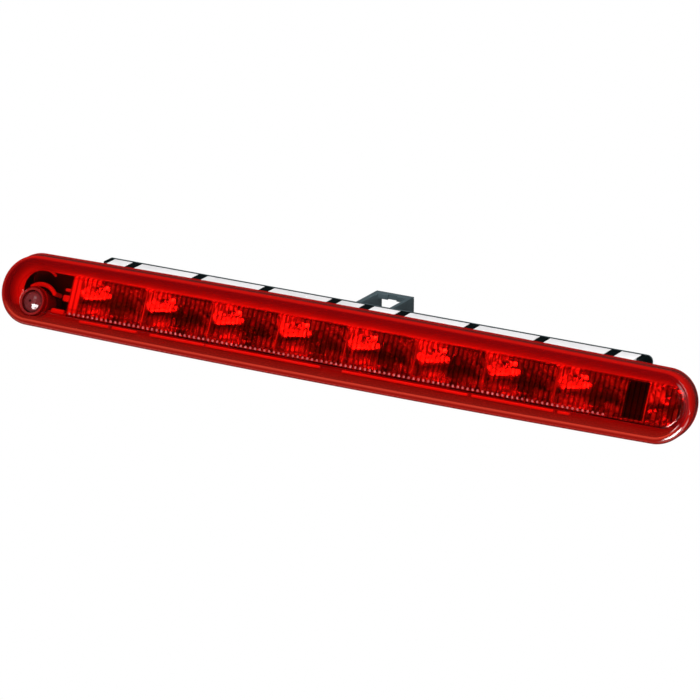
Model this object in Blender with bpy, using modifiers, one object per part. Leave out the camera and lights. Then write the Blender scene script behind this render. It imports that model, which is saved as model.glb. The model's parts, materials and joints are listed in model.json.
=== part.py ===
"""Third brake light: a raked red lens on a white reflector tray, a dark rear housing and a washer jet.

Row frame in metres. The origin is the middle of the housing's flat rear wall, -Y is where the light
goes, +X is the right-hand end as a follower sees the lamp, and +Z is up.
"""
from math import cos, pi, radians, sin

import bmesh
import bpy
from mathutils import Matrix, Vector

# Lens outline, measured in its own raked plane
LENS_LENGTH = 0.381
LENS_HEIGHT = 0.038
LENS_CROWN = 0.0012
LENS_WALL = 0.0012
SKIRT_DEPTH = 0.005
RAKE = radians(24.86)
FACE_Y = -0.024
# Each step from the lens edge to the window: (inset, rise)
LENS_STEPS = ((0.0007, 0.0015), (0.0013, 0.0011), (0.0020, 0.0007), (0.0035, 0.0006))

# Rear box of tray and housing
BOX_LEFT = -0.1415
BOX_RIGHT = 0.1575
BOX_HALF_HEIGHT = 0.0158
PLATE_THICK = 0.0015
GAP = 0.0003
MERGE_DISTANCE = 0.00001
# How far a tool reaches past what it cuts, and how deep a joined body roots in its neighbour
TOOL_REACH = 0.010
ROOT = 0.0005
TRAY_LEFT = -0.1385
TRAY_RIGHT = 0.1522
TRAY_WALL = 0.0028
FLANGE_INSET = 0.00155
FLANGE_FRONT = 0.003
FLANGE_BACK = 0.0057
END_BACK_Y = -0.008
TRAY_END_INSET = 0.0050
TRAY_END_FRONT = 0.004
CORNER_RADIUS = 0.0028

# Windows in the raked plane: left, right and half height; depths run back from the lens face
OPTIC_WINDOW = (-0.1520, 0.1850, 0.0102)
OPTIC_DEPTHS = (0.0011, 0.0027)
SEAL_INSETS = (0.0016, 0.0028)
SEAL_DEPTHS = (0.0015, 0.0027)
SHADE_WINDOW = (0.1534, 0.1643, 0.0090)
SHADE_DEPTHS = (0.0031, 0.0043)
JET_POCKET = (-0.1800, -0.1530, 0.0095)
JET_POCKET_FLOOR_Y = -0.012

# Reflector cells and their fingers
CELL_COUNT = 8
CELL_FIRST_X = -0.1285
CELL_PITCH = 0.0378
CELL_HALF_WIDTH = 0.0182
CELL_HALF_HEIGHT = 0.0086
CELL_FLOOR_Y = -0.009
CELL_DEPTH = 0.0085
END_CELL_X = 0.1745
END_CELL_HALF_WIDTH = 0.0095
END_BOARD_HALF = (0.0045, 0.0045)
END_BOARD_THICK = 0.0012
END_CAP_WALL = 0.0012
END_CAP_DEPTH = 0.0032
FINGER_WIDTH = 0.0050
FINGER_THICK = 0.0015
FINGER_FRONT_Y = -0.0104
CATCH_FINGER_X = 0.0059
FINGER_SHIFT = 0.0030

# Board and what it carries
BOARD_FRONT_Y = -0.0056
BOARD_BACK_Y = -0.0040
BOARD_HALF_HEIGHT = 0.0105
BOARD_EDGE = 0.0017
BOSS_CLEARANCE = 0.0004
POCKET_FLOOR_Y = -0.008
LED_RADIUS = 0.0025
LED_FLANGE_RADIUS = 0.0029
LED_FLANGE_THICK = 0.0010
LED_LENGTH = 0.0087
LED_HOLE_RADIUS = 0.0033
LEAD_RADIUS = 0.0003
LEAD_LENGTH = 0.0028
LEAD_TAPER = 0.0006
RESISTOR_Z = 0.0055
RESISTOR_BODY = (0.0009, 0.0050)
DIODE_BODY = (0.0009, 0.0045)
RESISTOR_CELLS = (0, 2, 5, 7)
DIODE_PLACE = (-0.0480, -0.0060)

# Screws: head radius, shank radius and length under the head
HOUSING_SCREW = (0.0030, 0.0012, 0.0085)
BOARD_SCREW = (0.0022, 0.0010, 0.0045)
SPOT_FACE_RADIUS = 0.0034
SPOT_FACE_DEPTH = 0.0003
HOUSING_BOSS_RADIUS = 0.0030
BOARD_BOSS_RADIUS = 0.0028
SCREW_SLOT_HALF = 0.0003

# Catch loop
LOOP_LEFT = -0.0026
LOOP_RIGHT = 0.0180
LOOP_LENGTH = 0.021
LOOP_WINDOW = (0.0002, 0.0160, 0.0167)
LOOP_HEIGHT = 0.0083
LOOP_BAR_THICK = 0.0024
LOOP_NOTCH = (0.0050, 0.0015)

# Plug inlet
SOCKET_X = -0.0680
SOCKET_Z = -0.0030
SOCKET_OUTER = (0.0160, 0.0130)
SOCKET_INNER = (0.0130, 0.0100)
SOCKET_LENGTH = 0.014
SOCKET_WEB_Y = 0.001
BLADE_SPACING = 0.005
BLADE_HALF = (0.0014, 0.0004)
BLADE_TIP_Y = 0.011
SOCKET_SEAL_MARGIN = 0.0022
SOCKET_SEAL_THICK = 0.0012

# Washer jet, across and up the raked face
JET_X = -0.1705
JET_UP = -0.0056
JET_BALL_RADIUS = 0.006
JET_BALL_DEPTH = 0.0015
JET_PORT_RADIUS = 0.0073
JET_DRILL_RADIUS = 0.0007
HOLDER_FRONT_DEPTH = -0.0024
JET_SEAL = (0.0076, 0.0004)
JET_SEAL_DEPTH = -0.0003
PIPE_RADIUS = 0.0012
PIPE_SWEEP = 0.0098
PIPE_TURN = (radians(38), radians(126))
PIPE_DEPTH = 0.0048
PIPE_ROOT_DEPTH = 0.0105


def clear_scene():
    """Empties the scene so that the script can be run again."""
    for item in list(bpy.data.objects):
        bpy.data.objects.remove(item, do_unlink=True)


clear_scene()
PARTS = bpy.data.collections.new("third_brake_light")
CUTTERS = bpy.data.collections.new("cutters")
for group in (PARTS, CUTTERS):
    bpy.context.scene.collection.children.link(group)


def finish_material(name, colour, roughness, metallic=0.0):
    """A plain Principled material."""
    material = bpy.data.materials.new(name)
    material.use_nodes = True
    shader = material.node_tree.nodes["Principled BSDF"]
    shader.inputs["Base Color"].default_value = (*colour, 1.0)
    shader.inputs["Roughness"].default_value = roughness
    shader.inputs["Metallic"].default_value = metallic
    return material


RED_LENS = finish_material("red_lens", (0.60, 0.01, 0.01), 0.08)
CLEAR_OPTIC = finish_material("clear_optic", (0.85, 0.80, 0.80), 0.10)
WHITE_TRAY = finish_material("white_tray", (0.83, 0.82, 0.82), 0.45)
SLATE = finish_material("slate_plastic", (0.07, 0.09, 0.10), 0.50)
BLACK = finish_material("black_plastic", (0.01, 0.01, 0.01), 0.40)
GREEN_BOARD = finish_material("board", (0.02, 0.12, 0.05), 0.50)
LED_RED = finish_material("led", (0.45, 0.02, 0.02), 0.15)
TINNED = finish_material("tinned_metal", (0.70, 0.70, 0.68), 0.30, 1.0)
STEEL = finish_material("steel", (0.55, 0.55, 0.56), 0.35, 1.0)
RUBBER = finish_material("rubber", (0.02, 0.02, 0.02), 0.80)
RESISTOR_BLUE = finish_material("resistor", (0.20, 0.42, 0.52), 0.40)


def add_object(name, mesh, material, collection=PARTS):
    """Puts a mesh into the scene under its own name."""
    item = bpy.data.objects.new(name, mesh)
    if material is not None:
        mesh.materials.append(material)
    collection.objects.link(item)
    return item


def mesh_object(name, bm, material, collection=PARTS):
    """Turns a bmesh into a named object with its faces pointing out."""
    bmesh.ops.recalc_face_normals(bm, faces=bm.faces)
    mesh = bpy.data.meshes.new(name)
    bm.to_mesh(mesh)
    bm.free()
    return add_object(name, mesh, material, collection)


def cutter(name, bm):
    """A tool body: it cuts or joins, and is no part of the lamp."""
    item = mesh_object(name, bm, None, CUTTERS)
    item.hide_render = True
    item.display_type = "WIRE"
    return item


def boolean(item, other, operation="DIFFERENCE"):
    """Cuts or joins with another body."""
    step = item.modifiers.new(operation.lower(), "BOOLEAN")
    step.operation = operation
    step.object = other
    step.solver = "EXACT"


def smooth(item, angle=35.0):
    """Shades round pieces smooth and keeps their edges sharp."""
    item.data.shade_smooth()
    item.data.set_sharp_from_angle(angle=radians(angle))


def raked_y(z, depth):
    """Y of the raked plane that lies a depth behind the lens face, at a height."""
    return FACE_Y + (depth + z * sin(RAKE)) / cos(RAKE)


def face_point(x, up, depth):
    """A point given across the raked face, up it and behind it."""
    return Vector((x, FACE_Y + up * sin(RAKE) + depth * cos(RAKE), up * cos(RAKE) - depth * sin(RAKE)))


def lens_outline(inset, arc_steps=12, edge_steps=8):
    """The crowned outline with round ends, as (x, z) points, inset in the raked plane."""
    radius = LENS_HEIGHT / 2 - LENS_CROWN - inset
    centre = LENS_LENGTH / 2 - LENS_HEIGHT / 2 + LENS_CROWN
    points = []
    for side in (1, -1):
        for step in range(arc_steps + 1):
            turn = pi * (step / arc_steps - 0.5) + (0 if side > 0 else pi)
            points.append((side * centre + radius * cos(turn), radius * sin(turn)))
        for step in range(1, edge_steps):
            x = side * centre * (1 - 2 * step / edge_steps)
            points.append((x, side * (radius + LENS_CROWN * (1 - (x / centre) ** 2))))
    return [(x, up * cos(RAKE)) for x, up in points]


def rounded_window(left, right, half_up, round_left, round_right, arc_steps=10):
    """A window whose ends are half round or square, as (x, z) points."""
    points = []
    for side, is_round in ((1, round_right), (-1, round_left)):
        end = right if side > 0 else left
        if not is_round:
            points += [(end, -side * half_up), (end, side * half_up)]
            continue
        for step in range(arc_steps + 1):
            turn = side * (pi * step / arc_steps - pi / 2)
            points.append((end + side * half_up * (cos(turn) - 1), half_up * sin(turn)))
    return [(x, up * cos(RAKE)) for x, up in points]


def raked_face(bm, points, depth):
    """One flat face on a raked plane, facing forward."""
    face = bm.faces.new([bm.verts.new((x, raked_y(z, depth), z)) for x, z in points])
    face.normal_update()
    if face.normal.y > 0:
        face.normal_flip()
    return face


def raked_prism(points, depth, back_depth=None, back_y=None):
    """A solid from one raked plane to another, or to a straight rear plane."""
    bm = bmesh.new()
    face = raked_face(bm, points, depth)
    moved = bmesh.ops.extrude_face_region(bm, geom=[face])["geom"]
    for vert in [v for v in moved if isinstance(v, bmesh.types.BMVert)]:
        vert.co.y = raked_y(vert.co.z, back_depth) if back_y is None else back_y
    return bm


def raked_ring(outer, inner, depth, back_depth):
    """A flat ring between two outlines and two raked planes."""
    bm = bmesh.new()
    loops = []
    for points in (outer, inner):
        verts = [bm.verts.new((x, raked_y(z, depth), z)) for x, z in points]
        ring = [bm.edges.new((verts[i - 1], verts[i])) for i in range(len(verts))]
        loops += ring
    flat = bmesh.ops.bridge_loops(bm, edges=loops)["faces"]
    moved = bmesh.ops.extrude_face_region(bm, geom=flat)["geom"]
    for vert in [v for v in moved if isinstance(v, bmesh.types.BMVert)]:
        vert.co.y = raked_y(vert.co.z, back_depth)
    return bm


def box(low, high):
    """A box between two corners."""
    bm = bmesh.new()
    bmesh.ops.create_cube(bm, size=1.0)
    size = Vector(high) - Vector(low)
    bmesh.ops.scale(bm, vec=size, verts=bm.verts)
    bmesh.ops.translate(bm, vec=Vector(low) + size / 2, verts=bm.verts)
    return bm


def rod(radius, start, length, segments=16):
    """A cylinder along +Y from a start point, with a flat and not an edge on top."""
    bm = bmesh.new()
    bmesh.ops.create_cone(bm, cap_ends=True, segments=segments, radius1=radius, radius2=radius, depth=length)
    bmesh.ops.rotate(bm, matrix=Matrix.Rotation(pi / segments, 3, "Z"), verts=bm.verts)
    bmesh.ops.rotate(bm, matrix=Matrix.Rotation(-pi / 2, 3, "X"), verts=bm.verts)
    bmesh.ops.translate(bm, vec=Vector(start) + Vector((0, length / 2, 0)), verts=bm.verts)
    return bm


def turned(name, profile, material, steps=16):
    """A closed profile of (radius, distance behind the start) turned about the object's local Z."""
    bm = bmesh.new()
    verts = [bm.verts.new((radius, 0, -behind)) for radius, behind in profile]
    for first, second in zip(verts, verts[1:]):
        bm.edges.new((first, second))
    bmesh.ops.remove_doubles(bm, verts=bm.verts, dist=MERGE_DISTANCE)
    mesh = bpy.data.meshes.new(name)
    bm.to_mesh(mesh)
    bm.free()
    item = add_object(name, mesh, material)
    screw = item.modifiers.new("turn", "SCREW")
    screw.steps = steps
    screw.render_steps = steps
    screw.use_merge_vertices = True
    screw.merge_threshold = MERGE_DISTANCE
    screw.use_smooth_shade = True
    return item


def point_back(item, start, raked=False):
    """Stands a turned piece at its start with its local Z pointing forward."""
    item.location = start
    item.rotation_euler = (pi / 2 - (RAKE if raked else 0), 0, 0)


def cell_xs():
    """Where the light-emitting diodes of the regular cells stand."""
    return [CELL_FIRST_X + CELL_PITCH * index for index in range(CELL_COUNT)]


def make_outer_lens():
    """Red cover: rolled rim, flat window, straight skirt, and a hole for the jet."""
    bm = bmesh.new()
    face = raked_face(bm, lens_outline(0.0), 0.0)
    rim = list(face.edges)
    skirt = bmesh.ops.extrude_edge_only(bm, edges=rim)["geom"]
    skirt_verts = [v for v in skirt if isinstance(v, bmesh.types.BMVert)]
    bmesh.ops.translate(bm, vec=(0, SKIRT_DEPTH, 0), verts=skirt_verts)
    for inset, rise in LENS_STEPS:
        bmesh.ops.inset_individual(bm, faces=[face], thickness=inset, depth=rise, use_even_offset=True)
    lens = mesh_object("outer_lens", bm, RED_LENS)
    wall = lens.modifiers.new("wall", "SOLIDIFY")
    wall.thickness = LENS_WALL
    wall.offset = -1
    wall.use_even_offset = True
    boolean(lens, jet_bore("lens_port_cutter", 3 * TOOL_REACH))
    smooth(lens)


def jet_bore(name, length):
    """A tool along the jet's axis, square to the raked face, that starts in front of the lens."""
    item = cutter(name, rod(JET_PORT_RADIUS, (0, 0, 0), length, 24))
    item.location = face_point(JET_X, JET_UP, -TOOL_REACH)
    item.rotation_euler = (-RAKE, 0, 0)
    return item


def make_inner_optic():
    """Clear strip that spreads the light, from the jet's end to the right-hand end."""
    points = rounded_window(*OPTIC_WINDOW, False, True)
    mesh_object("inner_optic", raked_prism(points, OPTIC_DEPTHS[0], back_depth=OPTIC_DEPTHS[1]), CLEAR_OPTIC)


def make_lens_seal():
    """Bead that joins the lens to the tray's flange."""
    ring = raked_ring(*(lens_outline(inset) for inset in SEAL_INSETS), *SEAL_DEPTHS)
    mesh_object("lens_seal", ring, RUBBER)


def bowl(centre, half_width, columns=8, rows=6):
    """Tool for one reflector cell: a shallow paraboloid floor under a straight opening."""
    bm = bmesh.new()
    bmesh.ops.create_grid(bm, x_segments=columns, y_segments=rows, size=1.0)
    for vert in bm.verts:
        across, up = vert.co.x, vert.co.y
        sag = CELL_DEPTH * (0.75 * across * across + 0.25 * up * up)
        vert.co = (centre + half_width * across, CELL_FLOOR_Y - sag, CELL_HALF_HEIGHT * up)
    moved = bmesh.ops.extrude_face_region(bm, geom=bm.faces[:])["geom"]
    for vert in [v for v in moved if isinstance(v, bmesh.types.BMVert)]:
        vert.co.y = 2 * FACE_Y
    return bm


def tray_box():
    """The tray's rear box behind the raked flange."""
    bm = box((TRAY_LEFT, FACE_Y, -BOX_HALF_HEIGHT), (TRAY_RIGHT, -PLATE_THICK - GAP, BOX_HALF_HEIGHT))
    for vert in [v for v in bm.verts if v.co.y < FACE_Y / 2]:
        vert.co.y = raked_y(vert.co.z, FLANGE_BACK - GAP)
    return bm


def cut_tray_cells(tray):
    """Opens the regular cells and the end cell, each with its diode's hole."""
    for index, centre in enumerate(cell_xs() + [END_CELL_X]):
        half_width = CELL_HALF_WIDTH if index < CELL_COUNT else END_CELL_HALF_WIDTH
        boolean(tray, cutter(f"cell_cutter_{index + 1}", bowl(centre, half_width)))
        boolean(tray, cutter(f"led_hole_{index + 1}", rod(LED_HOLE_RADIUS, (centre, FACE_Y, 0), -FACE_Y)))


def cut_tray_ends(tray):
    """Jet pocket at the left, shade recess at the right and the jet's bore."""
    pocket = rounded_window(*JET_POCKET, True, False)
    boolean(tray, cutter("jet_pocket_cutter", raked_prism(pocket, -TOOL_REACH, back_y=JET_POCKET_FLOOR_Y)))
    left, right, half_up = SHADE_WINDOW
    recess = rounded_window(left - GAP, right + GAP, half_up + GAP, False, False)
    tool = raked_prism(recess, -TOOL_REACH, back_depth=SHADE_DEPTHS[1] + GAP)
    boolean(tray, cutter("shade_recess_cutter", tool))
    boolean(tray, jet_bore("tray_port_cutter", 4 * TOOL_REACH))


def make_reflector_tray():
    """White moulding: raked flange, shallow ends, rear box with pockets for board and fingers."""
    flange = raked_prism(lens_outline(FLANGE_INSET), FLANGE_FRONT, FLANGE_BACK)
    tray = mesh_object("reflector_tray", flange, WHITE_TRAY)
    boolean(tray, cutter("tray_box_tool", tray_box()), "UNION")
    ends = raked_prism(lens_outline(TRAY_END_INSET), TRAY_END_FRONT, back_y=END_BACK_Y)
    boolean(tray, cutter("tray_ends_tool", ends), "UNION")
    low = (TRAY_LEFT + TRAY_WALL, POCKET_FLOOR_Y, -BOX_HALF_HEIGHT + TRAY_WALL)
    high = (TRAY_RIGHT - TRAY_WALL, TOOL_REACH, BOX_HALF_HEIGHT - TRAY_WALL)
    boolean(tray, cutter("board_pocket_cutter", box(low, high)))
    for index, x in enumerate(screw_xs()):
        add_boss(tray, f"housing_{index + 1}", x, HOUSING_BOSS_RADIUS, -PLATE_THICK - GAP, HOUSING_SCREW)
    for index, x in enumerate(board_screw_xs()):
        add_boss(tray, f"board_{index + 1}", x, BOARD_BOSS_RADIUS, BOARD_FRONT_Y - GAP, BOARD_SCREW)
    cut_tray_cells(tray)
    cut_tray_ends(tray)
    half = FINGER_WIDTH / 2 + GAP
    inner = BOX_HALF_HEIGHT - FINGER_THICK - GAP
    for name, x, side in finger_places():
        low_z, high_z = sorted((side * inner, side * (BOX_HALF_HEIGHT + TOOL_REACH)))
        notch = box((x - half, FINGER_FRONT_Y - GAP, low_z), (x + half, TOOL_REACH, high_z))
        boolean(tray, cutter(f"notch_{name}", notch))


def finger_places():
    """The housing's fingers: one over and one under each cell, and one more over the catch loop."""
    places = [("finger_catch", CATCH_FINGER_X, 1)]
    for index, x in enumerate(cell_xs()):
        places.append((f"finger_{index + 1}_top", x + FINGER_SHIFT, 1))
        places.append((f"finger_{index + 1}_foot", x + FINGER_SHIFT, -1))
    return places


def add_boss(tray, name, x, radius, back_y, screw):
    """A boss on the pocket's floor, drilled for its screw."""
    start = POCKET_FLOOR_Y - ROOT
    boolean(tray, cutter(f"{name}_boss", rod(radius, (x, start, 0), back_y - start)), "UNION")
    pilot = rod(screw[1] + GAP, (x, CELL_FLOOR_Y - ROOT, 0), TOOL_REACH, 12)
    boolean(tray, cutter(f"{name}_pilot", pilot))


def screw_xs():
    """The four screws that hold the housing stand on cell boundaries."""
    return [CELL_FIRST_X + CELL_PITCH * (index + 0.5) for index in (0, 2, 4, 6)]


def board_screw_xs():
    """The two screws that hold the board."""
    return [CELL_FIRST_X + CELL_PITCH * (index + 0.5) for index in (3, 5)]


def make_housing():
    """Dark rear housing: flat wall, wrapped fingers, end blocks and the catch loop."""
    low = (BOX_LEFT, -PLATE_THICK, -BOX_HALF_HEIGHT)
    housing = mesh_object("housing", box(low, (BOX_RIGHT, 0, BOX_HALF_HEIGHT)), SLATE)
    root_y = -PLATE_THICK / 2
    for name, left, right in (
        ("left_block_tool", BOX_LEFT, TRAY_LEFT - GAP),
        ("right_block_tool", TRAY_RIGHT + GAP, BOX_RIGHT),
    ):
        block = box((left, END_BACK_Y + GAP, -BOX_HALF_HEIGHT), (right, root_y, BOX_HALF_HEIGHT))
        boolean(housing, cutter(name, block), "UNION")
    half = FINGER_WIDTH / 2
    for name, x, side in finger_places():
        low_z, high_z = sorted((side * BOX_HALF_HEIGHT, side * (BOX_HALF_HEIGHT - FINGER_THICK)))
        finger = box((x - half, FINGER_FRONT_Y, low_z), (x + half, root_y, high_z))
        boolean(housing, cutter(name, finger), "UNION")
    boolean(housing, cutter("catch_loop_tool", catch_loop()), "UNION")
    for name, tool in catch_loop_cuts():
        boolean(housing, cutter(name, tool))
    boolean(housing, cutter("corner_cutter", end_corner()))
    wide, tall = SOCKET_OUTER
    low = (SOCKET_X - wide / 2 - GAP, -TOOL_REACH, SOCKET_Z - tall / 2 - GAP)
    high = (SOCKET_X + wide / 2 + GAP, TOOL_REACH, SOCKET_Z + tall / 2 + GAP)
    boolean(housing, cutter("socket_window_cutter", box(low, high)))
    wide, tall = (size / 2 + SOCKET_SEAL_MARGIN + GAP for size in SOCKET_OUTER)
    low = (SOCKET_X - wide, -SPOT_FACE_DEPTH, SOCKET_Z - tall)
    high = (SOCKET_X + wide, TOOL_REACH, SOCKET_Z + tall)
    boolean(housing, cutter("socket_seal_recess", box(low, high)))
    hole_radius = HOUSING_SCREW[1] + GAP
    for index, x in enumerate(screw_xs()):
        hole = rod(hole_radius, (x, -2 * PLATE_THICK, 0), 4 * PLATE_THICK, 12)
        boolean(housing, cutter(f"screw_hole_{index + 1}", hole))
        seat = rod(SPOT_FACE_RADIUS, (x, -SPOT_FACE_DEPTH, 0), TOOL_REACH)
        boolean(housing, cutter(f"screw_seat_{index + 1}", seat))


def end_corner():
    """Tool that rounds the housing's right-hand top corner."""
    steps = 6
    centre_x, centre_z = BOX_RIGHT - CORNER_RADIUS, BOX_HALF_HEIGHT - CORNER_RADIUS
    outside_x, outside_z = BOX_RIGHT + CORNER_RADIUS, BOX_HALF_HEIGHT + CORNER_RADIUS
    outline = [(outside_x, outside_z), (centre_x, outside_z)]
    for step in range(steps + 1):
        turn = pi / 2 * (1 - step / steps)
        outline.append((centre_x + CORNER_RADIUS * cos(turn), centre_z + CORNER_RADIUS * sin(turn)))
    outline.append((outside_x, centre_z))
    bm = bmesh.new()
    face = bm.faces.new([bm.verts.new((x, FINGER_FRONT_Y, z)) for x, z in outline])
    moved = bmesh.ops.extrude_face_region(bm, geom=[face])["geom"]
    for vert in [v for v in moved if isinstance(v, bmesh.types.BMVert)]:
        vert.co.y = PLATE_THICK
    return bm


def catch_loop():
    """Block that the catch loop is cut from, standing back from the rear wall."""
    low = (LOOP_LEFT, -PLATE_THICK / 2, BOX_HALF_HEIGHT - LOOP_HEIGHT)
    return box(low, (LOOP_RIGHT, LOOP_LENGTH, BOX_HALF_HEIGHT))


def catch_loop_cuts():
    """Window through the loop, relief under its bar and the notch in the bar's inner edge."""
    left, right, depth = LOOP_WINDOW
    above = BOX_HALF_HEIGHT + TOOL_REACH
    under = BOX_HALF_HEIGHT - LOOP_BAR_THICK
    middle = (left + right) / 2
    notch_half = LOOP_NOTCH[0] / 2
    notch_low = (middle - notch_half, depth - ROOT, 0)
    notch_high = (middle + notch_half, depth + LOOP_NOTCH[1], above)
    return (
        ("loop_window_cutter", box((left, 0, 0), (right, depth, above))),
        ("loop_relief_cutter", box((left, depth - ROOT, 0), (right, LOOP_LENGTH + TOOL_REACH, under))),
        ("loop_notch_cutter", box(notch_low, notch_high)),
    )


def make_end_shade():
    """Black plate between the last cell and the end cell."""
    points = rounded_window(*SHADE_WINDOW, False, False)
    mesh_object("end_shade", raked_prism(points, SHADE_DEPTHS[0], back_depth=SHADE_DEPTHS[1]), BLACK)


def make_board():
    """Circuit board with holes for the housing screws' bosses and for its own screws."""
    edge = TRAY_WALL + BOARD_EDGE
    low = (TRAY_LEFT + edge, BOARD_FRONT_Y, -BOARD_HALF_HEIGHT)
    high = (TRAY_RIGHT - edge, BOARD_BACK_Y, BOARD_HALF_HEIGHT)
    board = mesh_object("circuit_board", box(low, high), GREEN_BOARD)
    for index, x in enumerate(screw_xs()):
        hole = rod(HOUSING_BOSS_RADIUS + BOSS_CLEARANCE, (x, -TOOL_REACH, 0), TOOL_REACH)
        boolean(board, cutter(f"board_boss_hole_{index + 1}", hole))
    for index, x in enumerate(board_screw_xs()):
        hole = rod(BOARD_SCREW[1] + BOSS_CLEARANCE, (x, -TOOL_REACH, 0), TOOL_REACH, 12)
        boolean(board, cutter(f"board_screw_hole_{index + 1}", hole))


def make_led(index, x, foot_y):
    """A round diode: flanged foot, straight body and domed nose."""
    dome_steps = 5
    shoulder = LED_LENGTH - LED_FLANGE_THICK
    profile = [(0.0, 0.0)]
    for step in range(1, dome_steps + 1):
        turn = pi / 2 * (1 - step / dome_steps)
        profile.append((LED_RADIUS * cos(turn), LED_RADIUS * (1 - sin(turn))))
    profile += [(LED_RADIUS, shoulder), (LED_FLANGE_RADIUS, shoulder)]
    profile += [(LED_FLANGE_RADIUS, LED_LENGTH), (0.0, LED_LENGTH)]
    led = turned(f"led_{index}", profile, LED_RED)
    point_back(led, (x, foot_y - LED_LENGTH, 0))


def make_leds():
    """One diode in each regular cell, and one in the end cell."""
    for index, x in enumerate(cell_xs()):
        make_led(index + 1, x, BOARD_FRONT_Y - GAP)
    make_led(CELL_COUNT + 1, END_CELL_X, END_BACK_Y)


def make_end_board():
    """Small board that carries the end cell's diode, under its own dark cap."""
    front = END_BACK_Y + GAP
    half_width, half_height = END_BOARD_HALF
    low = (END_CELL_X - half_width, front, -half_height)
    high = (END_CELL_X + half_width, front + END_BOARD_THICK, half_height)
    mesh_object("end_board", box(low, high), GREEN_BOARD)
    inner = (half_width + GAP, half_height + GAP)
    outer = (inner[0] + END_CAP_WALL, inner[1] + END_CAP_WALL)
    low = (END_CELL_X - outer[0], front, -outer[1])
    high = (END_CELL_X + outer[0], front + END_CAP_DEPTH, outer[1])
    cap = mesh_object("end_cap", box(low, high), SLATE)
    low = (END_CELL_X - inner[0], 2 * END_BACK_Y, -inner[1])
    high = (END_CELL_X + inner[0], front + END_CAP_DEPTH - END_CAP_WALL, inner[1])
    boolean(cap, cutter("end_cap_cutter", box(low, high)))


def make_axial(name, x, z, radius, length, material):
    """A resistor or diode lying on the board, its leads running along X."""
    near, far = LEAD_LENGTH, LEAD_LENGTH + length
    whole = far + LEAD_TAPER + LEAD_LENGTH
    profile = [(0.0, 0.0), (LEAD_RADIUS, 0.0), (LEAD_RADIUS, near), (radius, near + LEAD_TAPER)]
    profile += [(radius, far), (LEAD_RADIUS, far + LEAD_TAPER), (LEAD_RADIUS, whole), (0.0, whole)]
    item = turned(name, profile, material, 12)
    item.location = (x - whole / 2, BOARD_BACK_Y + GAP + radius, z)
    item.rotation_euler = (0, -pi / 2, 0)


def make_board_parts():
    """Four resistors and the diode that guards against a reversed plug."""
    for index, cell in enumerate(RESISTOR_CELLS):
        make_axial(f"resistor_{index + 1}", cell_xs()[cell], RESISTOR_Z, *RESISTOR_BODY, RESISTOR_BLUE)
    make_axial("diode_1", *DIODE_PLACE, *DIODE_BODY, BLACK)


def make_screw(name, x, head_y, head_radius, shank, length):
    """A pan-headed screw driven forward from the rear, with a slot across its head."""
    height = 0.55 * head_radius
    top = length + height
    profile = [(0.0, 0.0), (0.6 * shank, 0.0), (shank, 0.7 * shank), (shank, length), (head_radius, length)]
    profile += [(head_radius, length + height / 2), (0.7 * head_radius, top), (0.0, top)]
    screw = turned(name, profile, STEEL, 14)
    point_back(screw, (x, head_y - length, 0))
    slot_half = 0.6 * head_radius
    low = (x - SCREW_SLOT_HALF, head_y + 0.45 * height, -slot_half)
    high = (x + SCREW_SLOT_HALF, head_y + TOOL_REACH, slot_half)
    boolean(screw, cutter(f"{name}_slot", box(low, high)))


def make_screws():
    """Screws of the housing and of the board."""
    for index, x in enumerate(screw_xs()):
        make_screw(f"housing_screw_{index + 1}", x, GAP - SPOT_FACE_DEPTH, *HOUSING_SCREW)
    for index, x in enumerate(board_screw_xs()):
        make_screw(f"board_screw_{index + 1}", x, BOARD_BACK_Y + GAP, *BOARD_SCREW)


def make_socket():
    """Plug inlet: a walled socket with a web that holds two blades."""
    wide, tall = SOCKET_OUTER
    low = (SOCKET_X - wide / 2, BOARD_BACK_Y + GAP, SOCKET_Z - tall / 2)
    high = (SOCKET_X + wide / 2, SOCKET_LENGTH, SOCKET_Z + tall / 2)
    socket = mesh_object("connector_socket", box(low, high), BLACK)
    wide, tall = SOCKET_INNER
    low = (SOCKET_X - wide / 2, SOCKET_WEB_Y, SOCKET_Z - tall / 2)
    high = (SOCKET_X + wide / 2, SOCKET_LENGTH + TOOL_REACH, SOCKET_Z + tall / 2)
    boolean(socket, cutter("socket_mouth_cutter", box(low, high)))
    for index, side in enumerate((-1, 1)):
        x = SOCKET_X + side * BLADE_SPACING / 2
        slot = blade_box(x, -TOOL_REACH, SOCKET_WEB_Y + TOOL_REACH, GAP)
        boolean(socket, cutter(f"blade_slot_cutter_{index + 1}", slot))
        blade = blade_box(x, BOARD_BACK_Y + GAP, BLADE_TIP_Y, 0.0)
        mesh_object(f"terminal_{index + 1}", blade, TINNED)


def blade_box(x, start_y, end_y, clearance):
    """A flat blade, or with a clearance the slot it stands in."""
    half_wide, half_thick = (half + clearance for half in BLADE_HALF)
    return box((x - half_wide, start_y, SOCKET_Z - half_thick), (x + half_wide, end_y, SOCKET_Z + half_thick))


def make_socket_seal():
    """Flat rubber frame round the inlet, lying in its recess in the rear wall."""
    wide, tall = (size / 2 + SOCKET_SEAL_MARGIN for size in SOCKET_OUTER)
    front = GAP - SPOT_FACE_DEPTH
    low = (SOCKET_X - wide, front, SOCKET_Z - tall)
    high = (SOCKET_X + wide, front + SOCKET_SEAL_THICK, SOCKET_Z + tall)
    seal = mesh_object("socket_seal", box(low, high), RUBBER)
    wide, tall = (size / 2 + GAP for size in SOCKET_OUTER)
    low = (SOCKET_X - wide, -TOOL_REACH, SOCKET_Z - tall)
    high = (SOCKET_X + wide, TOOL_REACH, SOCKET_Z + tall)
    boolean(seal, cutter("socket_seal_cutter", box(low, high)))


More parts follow.
